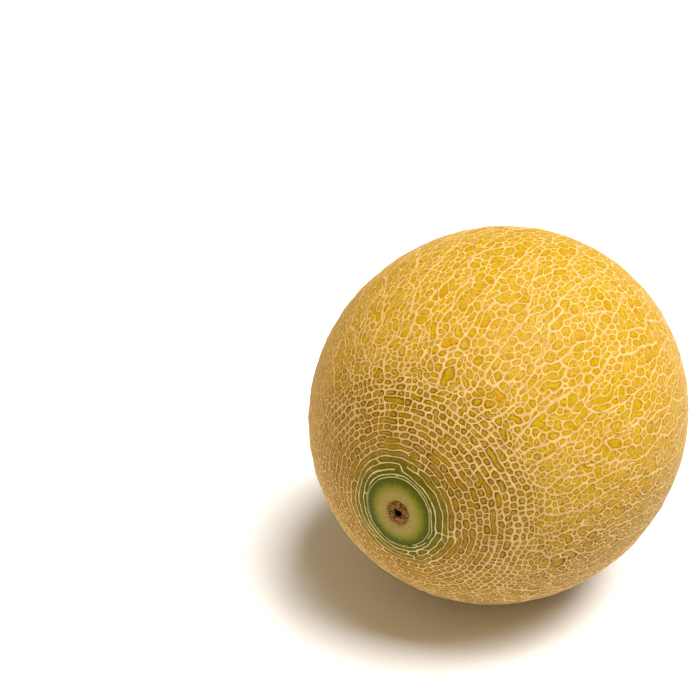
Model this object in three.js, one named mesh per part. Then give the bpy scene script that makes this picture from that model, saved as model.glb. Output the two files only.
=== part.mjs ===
// A galia melon lying on its side on a small flat spot, with the net raised from its rind.
// Millimetres, +Z up. The stem axis is level and runs along Y: the stem scar faces -Y.
import * as THREE from "three";

// Body, measured over the net
const DIAMETER = 148; // across the stem axis
const LENGTH = 157; // along the stem axis
const UNEVEN = 0.7; // how far the body swells and sinks from a true spheroid
const SPOT_RADIUS = 12; // flat spot underneath
const SPOT_FADE = 12; // round the flat spot the net rises from nothing over this distance

// Net, drawn twice as coarse as it grows
const NET_HEIGHT = 1.1;
const NET_HALF_WIDTH = 1.45;
const SHORTEST_SIDE = 1.8; // the corners of a shorter side are drawn together
const SEED = 11;
// Meshes by angle from the stem in degrees: width round the body, length along it, how much
// they line up in rings, and how far each strays from its even place
const MESHES = [
  { angle: 12, around: 8.6, along: 4.7, rings: 2.4, stray: 0.1 },
  { angle: 33, around: 10, along: 7.2, rings: 1.7, stray: 0.18 },
  { angle: 60, around: 9.8, along: 12, rings: 1, stray: 0.3 },
  { angle: 140, around: 9.8, along: 12, rings: 1, stray: 0.3 },
  { angle: 172, around: 8.4, along: 7.6, rings: 1.2, stray: 0.22 },
];

// Ends of the body as rings from the middle outwards: radius, height over the outer surface,
// and how much the height alternates from point to point
const STEM_END = [
  { radius: 1.3, height: -2.6, ribs: 0 }, // floor of the hole where the stalk came away
  { radius: 1.7, height: -0.3, ribs: 0.2 },
  { radius: 3.1, height: 0.3, ribs: 0.25 }, // corky crown of the scar
  { radius: 4.5, height: -0.2, ribs: 0.3 },
  { radius: 5.3, height: -1.2, ribs: 0 }, // pale disc with faint spokes
  { radius: 8, height: -0.95, ribs: 0.12 },
  { radius: 11, height: -0.8, ribs: 0.1 },
  { radius: 11.8, height: -1.1, ribs: 0 }, // smooth green collar
  { radius: 14.1, height: -1.1, ribs: 0 },
];
const BLOSSOM_END = [
  { radius: 1.4, height: -1.5, ribs: 0 },
  { radius: 2.6, height: -1.2, ribs: 0.15 }, // button left by the flower
  { radius: 3.3, height: -1.9, ribs: 0 },
  { radius: 6, height: -1.6, ribs: 0.12 },
  { radius: 8.8, height: -1.1, ribs: 0 },
];
const NET_START = 15.5; // radius of the first ring round the stem
const NET_END = 10.4; // radius of the last ring round the blossom end
const END_POINTS = 24; // points in each ring of an end

const EQUATOR = DIAMETER / 2;
const POLE = LENGTH / 2;
const TURN = 2 * Math.PI;
const { lerp, smoothstep, radToDeg, seededRandom } = THREE.MathUtils;

// A point at a height over the outer surface. theta is the angle from the stem end and phi the
// angle round the stem axis from the top.
function surface(theta, phi, height) {
  const across = Math.sin(theta);
  const swell = UNEVEN * across ** 2 * (0.6 * Math.sin(2 * phi + 0.7) + 0.4 * Math.sin(3 * theta + phi));
  const outward = new THREE.Vector3(
    (across * Math.sin(phi)) / EQUATOR,
    -Math.cos(theta) / POLE,
    (across * Math.cos(phi)) / EQUATOR,
  ).normalize();
  return new THREE.Vector3(
    EQUATOR * across * Math.sin(phi),
    -POLE * Math.cos(theta),
    EQUATOR * across * Math.cos(phi),
  ).addScaledVector(outward, swell + height);
}

// Depth of the rind under the crest of the net, nothing where the melon lies on it
function rindDepth(theta, phi) {
  const bottom = surface(Math.PI / 2, Math.PI, 0);
  const away = surface(theta, phi, 0).distanceTo(bottom);
  return NET_HEIGHT * smoothstep(away, SPOT_RADIUS, SPOT_RADIUS + SPOT_FADE);
}

function meshAt(theta) {
  const degrees = radToDeg(theta);
  const next = MESHES.findIndex((station) => station.angle >= degrees);
  if (next <= 0) return MESHES.at(next);
  const [before, after] = [MESHES[next - 1], MESHES[next]];
  const share = (degrees - before.angle) / (after.angle - before.angle);
  const mesh = {};
  for (const name of ["around", "along", "rings", "stray"]) {
    mesh[name] = lerp(before[name], after[name], share);
  }
  return mesh;
}

// The net is laid out on a flat chart with phi across and the rise from the stem end upwards.
// How fast the chart rises with theta sets how long the meshes come out on the body.
function riseRate(theta) {
  const { around, along, rings } = meshAt(theta);
  const arc = Math.hypot(POLE * Math.sin(theta), EQUATOR * Math.cos(theta));
  return (rings * around * arc) / (along * EQUATOR * Math.sin(theta));
}

const CHART_STEPS = 600;
const startTheta = Math.asin(NET_START / EQUATOR);
const endTheta = Math.PI - Math.asin(NET_END / EQUATOR);
const rises = [0];
for (let k = 0; k < CHART_STEPS; k += 1) {
  const middle = lerp(startTheta, endTheta, (k + 0.5) / CHART_STEPS);
  rises.push(rises[k] + (riseRate(middle) * (endTheta - startTheta)) / CHART_STEPS);
}
const topRise = rises[CHART_STEPS];

function thetaAt(rise) {
  const next = Math.max(1, rises.findIndex((value) => value >= Math.min(rise, topRise)));
  const share = (Math.max(rise, 0) - rises[next - 1]) / (rises[next] - rises[next - 1]);
  return lerp(startTheta, endTheta, (next - 1 + Math.min(share, 1)) / CHART_STEPS);
}

// One seed for each mesh, in rows round the body, with millimetres per unit of the chart
function sowSeeds() {
  const rows = [];
  for (let start = 0; start < topRise; start += rows.at(-1).height) {
    const { around, rings } = meshAt(thetaAt(start));
    const count = Math.round((TURN * EQUATOR * Math.sin(thetaAt(start))) / around);
    rows.push({ start, count, height: (rings * (Math.sqrt(3) / 2) * TURN) / count });
  }
  const fit = topRise / (rows.at(-1).start + rows.at(-1).height);
  return rows.flatMap(({ start, count, height }, row) => {
    const theta = thetaAt(fit * (start + height / 2));
    const { stray } = meshAt(theta);
    const perWidth = EQUATOR * Math.sin(theta);
    const perRise = Math.hypot(POLE * Math.sin(theta), EQUATOR * Math.cos(theta)) / riseRate(theta);
    return Array.from({ length: count }, (unused, k) => ({
      x: (k + row * 0.618 + stray * (2 * seededRandom() - 1)) * (TURN / count),
      y: fit * (start + height * (0.5 + stray * (2 * seededRandom() - 1))),
      reach: 3 * height,
      perWidth,
      perRise,
    }));
  });
}

// The part of a convex polygon where `inside` is positive. Each corner carries the name of the
// wall that runs from it to the next corner, and the new side gets the name given.
function cut(polygon, inside, wall) {
  const kept = [];
  polygon.forEach((from, k) => {
    const to = polygon[(k + 1) % polygon.length];
    const [a, b] = [inside(from), inside(to)];
    if (a > 0) kept.push(from);
    if (a > 0 !== b > 0) {
      const share = a / (a - b);
      kept.push({
        x: lerp(from.x, to.x, share),
        y: lerp(from.y, to.y, share),
        wall: a > 0 ? wall : from.wall,
      });
    }
  });
  return kept;
}

// The mesh round a seed is all that lies nearer to it than to any other seed
function meshRound(seed, seeds) {
  const size = seed.reach;
  const square = [[-size, -size], [size, -size], [size, size], [-size, size]];
  let polygon = square.map(([x, y]) => ({ x: seed.x + x, y: seed.y + y, wall: "none" }));
  polygon = cut(polygon, (p) => p.y, "stem");
  polygon = cut(polygon, (p) => topRise - p.y, "blossom");
  seeds.forEach((other, number) => {
    const turns = Math.round((seed.x - other.x) / TURN);
    const [dx, dy] = [other.x + turns * TURN - seed.x, other.y - seed.y];
    if (other === seed || Math.hypot(dx, dy) > 2 * size) return;
    const nearer = (p) => (dx * dx + dy * dy) / 2 - dx * (p.x - seed.x) - dy * (p.y - seed.y);
    polygon = cut(polygon, nearer, number);
  });
  return polygon;
}

// Corners are shared by the meshes that meet there, and those of a very short side become one.
// The long sides at the two ends get more corners, to follow the ring.
function shareCorners(polygons) {
  const corners = new Map();
  const meshes = polygons.map((polygon, number) => {
    const keys = [];
    polygon.forEach((corner, k) => {
      const before = polygon.at(k - 1).wall;
      const key = [number, before, corner.wall].map(String).sort().join();
      if (!corners.has(key)) corners.set(key, { x: corner.x, y: corner.y, end: /[a-z]/.test(key) });
      keys.push(key);
      if (corner.wall === "stem" || corner.wall === "blossom") {
        const next = polygon[(k + 1) % polygon.length];
        const middle = `${key},${number}`;
        corners.set(middle, { x: (corner.x + next.x) / 2, y: corner.y, end: true });
        keys.push(middle);
      }
    });
    return keys;
  });
  const place = (corner) => surface(thetaAt(corner.y), corner.x, 0);
  const find = (corner) => (corner.joined ? find(corner.joined) : corner);
  for (const keys of meshes) {
    keys.forEach((key, k) => {
      const [a, b] = [find(corners.get(key)), find(corners.get(keys.at(k - 1)))];
      if (a === b || (a.end && b.end) || place(a).distanceTo(place(b)) > SHORTEST_SIDE) return;
      const [stays, goes] = a.end ? [a, b] : [b, a];
      goes.joined = stays;
    });
  }
  return meshes.map((keys) => [...new Set(keys.map((key) => find(corners.get(key))))]);
}

const points = [];
const faces = [];

function addPoint(theta, phi, height) {
  return points.push(surface(theta, phi, height)) - 1;
}

// Joins two loops of { point, bearing } with a strip of triangles. The second loop lies to the
// left when the first is walked by growing bearing and seen from outside.
function stitch(first, second) {
  const inOrder = (loop) =>
    loop
      .map(({ point, bearing }) => ({ point, bearing: THREE.MathUtils.euclideanModulo(bearing, TURN) }))
      .sort((a, b) => a.bearing - b.bearing);
  const [right, left] = [inOrder(first), inOrder(second)];
  const pointOf = (loop, k) => loop[k % loop.length].point;
  const bearingOf = (loop, k) => loop[k % loop.length].bearing + (k < loop.length ? 0 : TURN);
  let [i, j] = [0, 0];
  while (i < right.length || j < left.length) {
    const rightNext = i < right.length && bearingOf(right, i + 1) < bearingOf(left, j + 1);
    if (rightNext || j === left.length) {
      faces.push([pointOf(right, i), pointOf(right, i + 1), pointOf(left, j)]);
      i += 1;
    } else {
      faces.push([pointOf(left, j + 1), pointOf(left, j), pointOf(right, i)]);
      j += 1;
    }
  }
}

// The rind inside one mesh, at the foot of the net all round
function buildMesh(seed, corners) {
  const outline = corners.map((corner) => {
    const turns = Math.round((seed.x - corner.x) / TURN);
    const x = (corner.x + turns * TURN - seed.x) * seed.perWidth;
    const y = (corner.y - seed.y) * seed.perRise;
    return { x, y, point: corner.point };
  });
  const insideOf = (k) => {
    const [from, to] = [outline[k], outline[(k + 1) % outline.length]];
    const [dx, dy] = [to.x - from.x, to.y - from.y];
    return (p) => (dx * (p.y - from.y) - dy * (p.x - from.x)) / Math.hypot(dx, dy);
  };
  const sides = outline.map((corner, k) => insideOf(k));
  const nearest = Math.min(...sides.map((inside) => inside({ x: 0, y: 0 })));
  const margin = Math.min(NET_HALF_WIDTH, 0.5 * nearest);
  let floor = outline;
  for (const inside of sides) floor = cut(floor, (p) => inside(p) - margin);
  floor = floor.filter((p, k) => Math.hypot(p.x - floor.at(k - 1).x, p.y - floor.at(k - 1).y) > 0.5);
  const rim = floor.map((p) => {
    const theta = thetaAt(seed.y + p.y / seed.perRise);
    const phi = seed.x + p.x / seed.perWidth;
    return { point: addPoint(theta, phi, -rindDepth(theta, phi)), bearing: Math.atan2(p.y, p.x) };
  });
  stitch(outline.map((p) => ({ point: p.point, bearing: Math.atan2(p.y, p.x) })), rim);
  for (let k = 2; k < rim.length; k += 1) {
    faces.push([rim[0].point, rim[k - 1].point, rim[k].point]);
  }
}

// The rings of one end, listed from the middle outwards. `atStem` tells which end it is.
function buildEnd(rings, edge, atStem) {
  const thetaOf = (radius) => {
    const theta = Math.asin(radius / EQUATOR);
    return atStem ? theta : Math.PI - theta;
  };
  const loops = rings.map(({ radius, height, ribs }) =>
    Array.from({ length: END_POINTS }, (unused, k) => {
      const bearing = (k / END_POINTS) * TURN;
      const rib = k % 2 ? ribs : -ribs;
      const ragged = ribs * (seededRandom() - 0.5);
      return { point: addPoint(thetaOf(radius), bearing, height + rib + ragged), bearing };
    }),
  );
  loops.push(edge);
  const middle = addPoint(atStem ? 0 : Math.PI, 0, rings[0].height);
  loops[0].forEach(({ point }, k) => {
    const next = loops[0][(k + 1) % END_POINTS].point;
    faces.push(atStem ? [middle, next, point] : [middle, point, next]);
  });
  for (let k = 1; k < loops.length; k += 1) {
    if (atStem) stitch(loops[k - 1], loops[k]);
    else stitch(loops[k], loops[k - 1]);
  }
}

seededRandom(SEED);
const seeds = sowSeeds();
const meshes = shareCorners(seeds.map((seed) => meshRound(seed, seeds)));
const corners = [...new Set(meshes.flat())];
for (const corner of corners) {
  const theta = thetaAt(corner.y);
  const worn = corner.end ? 0 : 0.25 * seededRandom() * rindDepth(theta, corner.x);
  corner.point = addPoint(theta, corner.x, -worn);
}
meshes.forEach((mesh, k) => buildMesh(seeds[k], mesh));

const edgeAt = (isThere) =>
  corners.filter((corner) => corner.end && isThere(corner)).map(({ point, x }) => ({ point, bearing: x }));
buildEnd(STEM_END, edgeAt((corner) => corner.y < topRise / 2), true);
buildEnd(BLOSSOM_END, edgeAt((corner) => corner.y > topRise / 2), false);

// The underside is pressed flat, and the origin goes to the middle of the flat side of the box
const spotDepth = EQUATOR - Math.sqrt(EQUATOR ** 2 - SPOT_RADIUS ** 2);
const ground = Math.min(...points.map((point) => point.z)) + spotDepth;
for (const point of points) point.z = Math.max(point.z, ground);
const box = new THREE.Box3().setFromPoints(points);
const centre = box.getCenter(new THREE.Vector3());
for (const point of points) point.sub(new THREE.Vector3(centre.x, centre.y, ground));

const geometry = new THREE.BufferGeometry().setFromPoints(points);
geometry.setIndex(faces.flat());
geometry.computeVertexNormals();

const rind = new THREE.MeshStandardMaterial({ color: "#dcb449", roughness: 0.55, metalness: 0 });
const melon = new THREE.Mesh(geometry, rind);
melon.name = "melon";
const group = new THREE.Group();
group.name = "galia_melon";
group.add(melon);
export default group;
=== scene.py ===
"""A ripe galia melon lying on its side, dressed in its true net, corky stem scar and blossom button.

Every piece is a surface worked out with numpy round the stem axis. theta is the angle from the
stem end and phi the angle round the axis from the top, so a point of the plain body lies at
(equator sin theta sin phi, -pole cos theta, equator sin theta cos phi) from its middle.
"""
import functools
import math

import bpy
import numpy as np
from bpy.props import FloatProperty, FloatVectorProperty, IntProperty, PointerProperty
from mathutils import Matrix, Vector
from mathutils.geometry import delaunay_2d_cdt


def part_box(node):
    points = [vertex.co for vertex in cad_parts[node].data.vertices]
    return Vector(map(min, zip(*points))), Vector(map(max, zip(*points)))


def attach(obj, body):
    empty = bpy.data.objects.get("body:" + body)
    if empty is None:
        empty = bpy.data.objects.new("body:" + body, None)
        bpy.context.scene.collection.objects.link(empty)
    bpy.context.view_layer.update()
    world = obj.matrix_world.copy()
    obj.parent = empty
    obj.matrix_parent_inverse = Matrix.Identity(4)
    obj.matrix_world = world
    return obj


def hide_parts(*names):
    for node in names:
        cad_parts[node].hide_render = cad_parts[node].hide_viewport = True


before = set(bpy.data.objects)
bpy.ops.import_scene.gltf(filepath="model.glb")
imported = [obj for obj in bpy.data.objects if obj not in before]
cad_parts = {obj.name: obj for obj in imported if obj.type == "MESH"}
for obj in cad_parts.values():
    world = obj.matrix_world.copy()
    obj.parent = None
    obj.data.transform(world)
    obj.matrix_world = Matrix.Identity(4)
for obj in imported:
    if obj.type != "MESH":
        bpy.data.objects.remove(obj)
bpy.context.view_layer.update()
LOW, HIGH = (np.array(corner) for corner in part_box("melon"))

bl_info = {
    "name": "Galia Melon",
    "version": (1, 0, 0),
    "blender": (4, 5, 0),
    "location": "View3D > Sidebar > Melon",
    "description": "Netted galia melon with its stem scar and blossom button",
    "category": "Object",
}

MM = 0.001
TURN = 2 * math.pi

# Angle from the stem in degrees; mesh width round the body and length along it in millimetres;
# how much the meshes line up in rings; how far each strays from its even place
NET_ANGLES = (0, 12, 20, 32, 46, 62, 130, 160, 180)
NET_AROUND = (5.0, 5.0, 3.4, 3.0, 2.8, 2.6, 2.6, 3.0, 3.2)
NET_ALONG = (1.7, 1.7, 2.7, 3.1, 3.1, 4.2, 4.2, 3.3, 3.0)
NET_RINGS = (3.0, 3.0, 2.6, 1.9, 1.0, 1.0, 1.0, 1.2, 1.3)
NET_STRAY = (0.06, 0.06, 0.09, 0.15, 0.34, 0.34, 0.34, 0.3, 0.2)

# The bold lines of the net part it into long fields of this width and length in millimetres,
# and lines of middling width part it once more, into fields of half that size
FIELD_ANGLES = (0, 35, 60, 130, 180)
FIELD_AROUND = (13, 13, 13, 13, 12)
FIELD_ALONG = (9, 14, 46, 46, 14)
MIDDLING_FIELDS = 0.5
FIELD_ROWS_FROM = 12  # millimetres from the stem end to the middle of the first row of fields
FIELD_ROW_STEP = 0.62  # from row to row, as a share of a field's length

ROW_TURN = 0.618  # of a mesh, by which each row of meshes is turned from the one before
SPOT_FADE = 12 * MM  # round the flat spot the net rises from nothing over this distance
NET_START = 14.9 * MM  # radius of the first ring round the stem
NET_END = 8.2 * MM  # radius inside which the blossom end has no net
LINE_SPACING = 1.3 * MM  # of the points along bold lines and rings
LINK_SPACING = 1.9 * MM  # of those along the rest
SHORT_SIDE = 0.45 * MM  # shorter sides of a mesh are drawn together
MAIN_RING_EVERY = 3  # one ring round the stem in this many is bold
LEAST_HALF_WIDTH = 0.12 * MM  # of a line, and how near to its crest a foot may come
SEAM_MARGIN = 0.5  # radians of the UV map past the seam, for the faces that cross it


def linear(code):
    """An sRGB hex colour as the linear one that shaders take."""
    values = [int(code[k:k + 2], 16) / 255 for k in (1, 3, 5)]
    return [v / 12.92 if v <= 0.04045 else ((v + 0.055) / 1.055) ** 2.4 for v in values]


def smoothstep(low, high, values):
    """0 below low, 1 above high, and a smooth rise between."""
    t = np.clip((values - low) / (high - low), 0, 1)
    return t * t * (3 - 2 * t)


def length_setting(name, description, millimetres):
    """A length that the panel shows."""
    return FloatProperty(name=name, description=description, default=millimetres * MM, unit="LENGTH")


def colour_setting(name, description, code):
    """A colour that the panel shows, from its sRGB hex value."""
    return FloatVectorProperty(name=name, description=description, subtype="COLOR", default=linear(code))


class MelonBody(bpy.types.PropertyGroup):
    diameter: length_setting("Diameter", "Across the stem axis, over the net", 148)
    length: length_setting("Length", "Along the stem axis, over the net", 157)
    uneven: length_setting("Unevenness", "How far the body swells and sinks", 0.7)
    net_height: length_setting("Net height", "Of the bold lines over the rind", 0.29)
    bold_width: length_setting("Bold lines", "Half the width of a bold line of the net", 0.56)
    fine_width: length_setting("Fine lines", "Half the width of a fine line of the net", 0.2)
    spot_radius: length_setting("Flat spot", "Radius of the place that the melon lies on", 12)
    oval: FloatProperty(
        name="Oval ends", description="How much taller than wide the rings at the stem are", default=0.06)
    seed: IntProperty(name="Seed", description="Of every random draw", default=4)


class MelonColours(bpy.types.PropertyGroup):
    rind: colour_setting("Rind", "Middle of a mesh", "#b59100")
    # Ripe is also the colour of the painted shade at the feet of the net on top of the body
    ripe: colour_setting("Ripe rind", "Deeper patches", "#ba8400")
    # Olive is the colour of the pores and of each mesh's own tone, and also of the painted shade beside the
    # net, low on the body and round the stem
    olive: colour_setting("Olive", "Rind beside the net", "#523600")
    green: colour_setting("Green", "Collar at both ends", "#4a4d02")
    lime: colour_setting("Lime", "Edge of the disc", "#727511")
    disc: colour_setting("Disc", "Round the stem scar", "#928042")
    net: colour_setting("Net", "Dry cork of the net", "#c7a46b")
    young_net: colour_setting("Net by the stem", "Paler and greener", "#cac07a")
    cork: colour_setting("Scar", "Brown cork of the scar", "#583410")
    crumb: colour_setting("Crumbs", "Tan crumbs on the scar", "#986c30")
    hollow: colour_setting("Hollow", "Cracks and hollow of the scar", "#1d0d03")
    floor: colour_setting("Floor", "Plain floor", "#ffffff")


class Body:
    """The plain body of the melon and where its rind and flat spot lie."""

    def __init__(self, sizes):
        self.equator = sizes.diameter / 2
        self.pole = sizes.length / 2
        self.uneven = sizes.uneven
        self.net_height = sizes.net_height
        self.oval = sizes.oval
        self.spot_radius = sizes.spot_radius
        self.middle = np.array([(LOW[0] + HIGH[0]) / 2, (LOW[1] + HIGH[1]) / 2, HIGH[2] - self.equator])

    def surface(self, theta, phi, height):
        """Points at a height over the rind. The rings round the ends are drawn a little oval. The
        plain body is swollen by low waves round and along it, goes out by the height along its
        normal, and is cut flat at the floor."""
        by_ends = 1 - smoothstep(0.2, 0.7, np.sin(theta))
        theta = theta + self.oval * by_ends * np.sin(theta) * np.cos(theta) * np.cos(2 * phi)
        across = np.sin(theta)
        swell = 0.6 * np.sin(2 * phi + 0.7) + 0.4 * np.sin(3 * theta + phi)
        lift = self.uneven * across ** 2 * swell - self.net_height + height
        outward = np.stack([
            across * np.sin(phi) / self.equator,
            -np.cos(theta) / self.pole,
            across * np.cos(phi) / self.equator], -1)
        outward /= np.linalg.norm(outward, axis=-1, keepdims=True)
        place = self.plain(theta, phi) + outward * lift[..., None] + self.middle
        place[..., 2] = np.maximum(place[..., 2], LOW[2])
        return place

    def plain(self, theta, phi):
        """Points of the plain body round its own middle."""
        across = self.equator * np.sin(theta)
        return np.stack([across * np.sin(phi), -self.pole * np.cos(theta), across * np.cos(phi)], -1)

    def angles(self, place):
        """theta and phi of the rays through points given round the body's own middle."""
        across = np.hypot(place[..., 0], place[..., 2]) / self.equator
        return np.arctan2(across, -place[..., 1] / self.pole), np.arctan2(place[..., 0], place[..., 2])

    def relief(self, place):
        """The share of its height that the net has there: none on the flat spot, all of it where
        the fade round the spot ends."""
        bottom = np.array([0, 0, -self.equator])
        away = np.linalg.norm(place - bottom, axis=-1)
        return smoothstep(self.spot_radius, self.spot_radius + SPOT_FADE, away)

    def arc(self, theta):
        """Length along the body for each radian of theta."""
        return np.hypot(self.pole * np.sin(theta), self.equator * np.cos(theta))


def waves(rng, place, length, count=24):
    """A smooth random field: the mean of plane waves of about the given length in random
    directions, with values mostly between -1 and 1."""
    directions = rng.normal(size=(count, 3))
    directions /= np.linalg.norm(directions, axis=1, keepdims=True)
    pitches = TURN / (length * rng.uniform(0.7, 1.4, count))
    phases = rng.uniform(0, TURN, count)
    return np.sin(place @ (directions * pitches[:, None]).T + phases).sum(-1) / math.sqrt(count / 2)


class Chart:
    """A flat chart of the body, phi across and the rise upwards. The rise grows with theta by
    rings * around / along for each mesh width, so that a mesh comes out as long as it should."""

    def __init__(self, body):
        self.body = body
        self.theta = np.linspace(math.radians(4), math.radians(177), 4000)  # past both ends of the net
        degrees = np.degrees(self.theta)
        around = np.interp(degrees, NET_ANGLES, NET_AROUND)
        along = np.interp(degrees, NET_ANGLES, NET_ALONG)
        rings = np.interp(degrees, NET_ANGLES, NET_RINGS)
        rate = rings * around / along * body.arc(self.theta) / (body.equator * np.sin(self.theta))
        steps = (rate[1:] + rate[:-1]) / 2 * np.diff(self.theta)
        self.rise = np.concatenate([[0], np.cumsum(steps)])

    def theta_at(self, rise):
        """The angle from the stem at a rise."""
        return np.interp(rise, self.rise, self.theta)

    def rise_at(self, theta):
        """The rise at an angle from the stem."""
        return np.interp(theta, self.theta, self.rise)

    def sow(self, rng):
        """One seed for each mesh, in rows round the body. Each row turns by the golden ratio of a
        mesh, and each seed strays from its even place. Two more rows at each end close the
        meshes there and have none of their own, which is told by row -1."""
        first = self.rise_at(math.asin(NET_START / self.body.equator))
        last = self.rise_at(math.pi - math.asin(NET_END / self.body.equator))
        starts, counts, heights = [], [], []
        rise = first
        while rise < last:
            theta = self.theta_at(rise)
            around = np.interp(np.degrees(theta), NET_ANGLES, NET_AROUND) * MM
            rings = np.interp(np.degrees(theta), NET_ANGLES, NET_RINGS)
            count = round(TURN * self.body.equator * math.sin(theta) / around)
            height = rings * math.sqrt(3) / 2 * TURN / count
            starts.append(rise)
            counts.append(count)
            heights.append(height)
            rise += height
        fit = (last - first) / (rise - first)
        starts = [first + fit * (start - first) for start in starts]
        heights = [fit * height for height in heights]
        starts = ([starts[0] - 2 * heights[0], starts[0] - heights[0]] + starts
                  + [last, last + heights[-1]])
        heights = [heights[0]] * 2 + heights + [heights[-1]] * 2
        counts = [counts[0]] * 2 + counts + [counts[-1]] * 2
        phi, rises, rows = [], [], []
        for row, (start, height, count) in enumerate(zip(starts, heights, counts)):
            stray = np.interp(np.degrees(self.theta_at(start + height / 2)), NET_ANGLES, NET_STRAY)
            place = np.arange(count) + row * ROW_TURN + stray * rng.uniform(-1, 1, count)
            phi.append((place * TURN / count + math.pi) % TURN - math.pi)
            rises.append(start + height * (0.5 + stray * rng.uniform(-1, 1, count)))
            inside = 2 <= row < len(starts) - 2
            rows.append(np.full(count, row if inside else -1))
        return np.concatenate(phi), np.concatenate(rises), np.concatenate(rows)


def meshes_round(phi, rise):
    """The meshes round the seeds, each all that lies nearer to its seed than to any other on the
    chart. Gives, for every corner of every mesh in order round it, its seed and the number of
    the point there, and the points' places on the chart. The points are the middles of the
    circles through the triangles that join neighbouring seeds."""
    overlap = 1.2  # radians of the chart that are repeated past each side of its seam
    near = math.pi - overlap
    copies = [np.arange(len(phi)), np.flatnonzero(phi > near), np.flatnonzero(phi < -near)]
    shifts = [0, -TURN, TURN]
    seeds = np.concatenate(copies)
    x = np.concatenate([phi[copy] + shift for copy, shift in zip(copies, shifts)])
    places = np.stack([x, rise[seeds]], 1)
    found = delaunay_2d_cdt([Vector(place) for place in places], [], [], 0, 1e-9)
    source = np.array([ids[0] for ids in found[3]])
    corners = source[np.array(found[2])]
    middle = places[corners].mean(1)
    corners = corners[(middle[:, 0] >= -math.pi) & (middle[:, 0] < math.pi)]

    a, b, c = (places[corners[:, k]] for k in range(3))
    ab, ac = b - a, c - a
    double = 2 * (ab[:, 0] * ac[:, 1] - ab[:, 1] * ac[:, 0])
    ab2, ac2 = (ab ** 2).sum(1), (ac ** 2).sum(1)
    points = a + np.stack([
        (ac[:, 1] * ab2 - ab[:, 1] * ac2) / double,
        (ab[:, 0] * ac2 - ac[:, 0] * ab2) / double], 1)

    point = np.repeat(np.arange(len(corners)), 3)
    away = points[point] - places[corners.ravel()]
    seed = seeds[corners.ravel()]
    order = np.lexsort((np.arctan2(away[:, 1], away[:, 0]), seed))
    return seed[order], point[order], points


def next_round(loop):
    """For samples laid loop after loop, the number of the next one round the same loop."""
    after = np.arange(1, len(loop) + 1)
    last = np.flatnonzero(np.append(loop[1:] != loop[:-1], True))
    after[last] = np.concatenate([[0], last[:-1] + 1])
    return after


def inverse(after):
    """The number of the sample before each one."""
    before = np.empty_like(after)
    before[after] = np.arange(len(after))
    return before


def mean_by(group, values, count):
    """The mean of the rows of values in each group."""
    sums = np.stack([np.bincount(group, column, count) for column in values.T], 1)
    return sums / np.maximum(np.bincount(group, minlength=count), 1)[:, None]


def joined(place, a, b):
    """The lowest number of the points that short sides a-b tie together."""
    label = np.arange(len(place))
    short = np.linalg.norm(place[a] - place[b], axis=1) < SHORT_SIDE
    a, b = a[short], b[short]
    while True:
        lower = label.copy()
        np.minimum.at(lower, a, label[b])
        np.minimum.at(lower, b, label[a])
        lower = lower[lower]
        if (lower == label).all():
            return label
        label = lower


def fields_of(body, theta, phi, rng, scale):
    """Which long field of the net each mesh belongs to: that of the nearest of a coarse set of
    seeds in rows, where nearness is counted in field widths round and field lengths along."""
    unit_size = scale * MM
    arc_table = np.linspace(0, math.pi, 500)
    arc = np.concatenate([[0], np.cumsum(body.arc(arc_table[1:]) * np.diff(arc_table))])
    rows_theta, rows_phi = [], []
    along = FIELD_ROWS_FROM * unit_size
    while along < arc[-1]:
        row_theta = np.interp(along, arc, arc_table)
        around = np.interp(np.degrees(row_theta), FIELD_ANGLES, FIELD_AROUND) * unit_size
        length = np.interp(np.degrees(row_theta), FIELD_ANGLES, FIELD_ALONG) * unit_size
        count = max(3, round(TURN * body.equator * math.sin(row_theta) / around))
        place = np.arange(count) + rng.uniform(0, 1) + rng.uniform(-0.3, 0.3, count)
        rows_phi.append(place * TURN / count)
        along_row = along + length * rng.uniform(-0.35, 0.35, count)
        rows_theta.append(np.interp(along_row, arc, arc_table))
        along += length * FIELD_ROW_STEP
    seed_theta, seed_phi = np.concatenate(rows_theta), np.concatenate(rows_phi)
    around = np.interp(np.degrees(theta), FIELD_ANGLES, FIELD_AROUND)[:, None] * unit_size
    length = np.interp(np.degrees(theta), FIELD_ANGLES, FIELD_ALONG)[:, None] * unit_size
    turn = (phi[:, None] - seed_phi + math.pi) % TURN - math.pi
    across = turn * body.equator * np.sin(theta)[:, None] / around
    forward = (np.interp(theta, arc_table, arc)[:, None] - np.interp(seed_theta, arc_table, arc)) / length
    return np.argmin(across ** 2 + forward ** 2, 1)


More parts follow.
